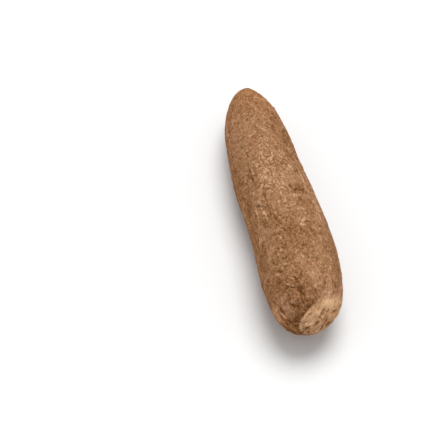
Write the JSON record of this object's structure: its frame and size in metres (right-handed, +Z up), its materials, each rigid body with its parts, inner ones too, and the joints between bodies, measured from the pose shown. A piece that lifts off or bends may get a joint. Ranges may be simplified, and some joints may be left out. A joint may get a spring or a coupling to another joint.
{
  "type": "yam",
  "caption": "Whole unpeeled starchy tuber with rough brown bark-like skin, a dried break scar on its blunt end and a thinner rounded tip, lying on its side.",
  "frame": {"origin": "on the surface the yam lies on, under the middle of its bounding box", "axes": "+Z up from that surface; +Y along the yam, from the blunt end with the break scar (-Y) to the thinner tip (+Y); +X across it"},
  "size_m": [0.0672, 0.268, 0.0623],
  "materials": {
    "skin": "matte"
  },
  "bodies": {
    "root": {"yam": "skin"}
  },
  "joints": []
}
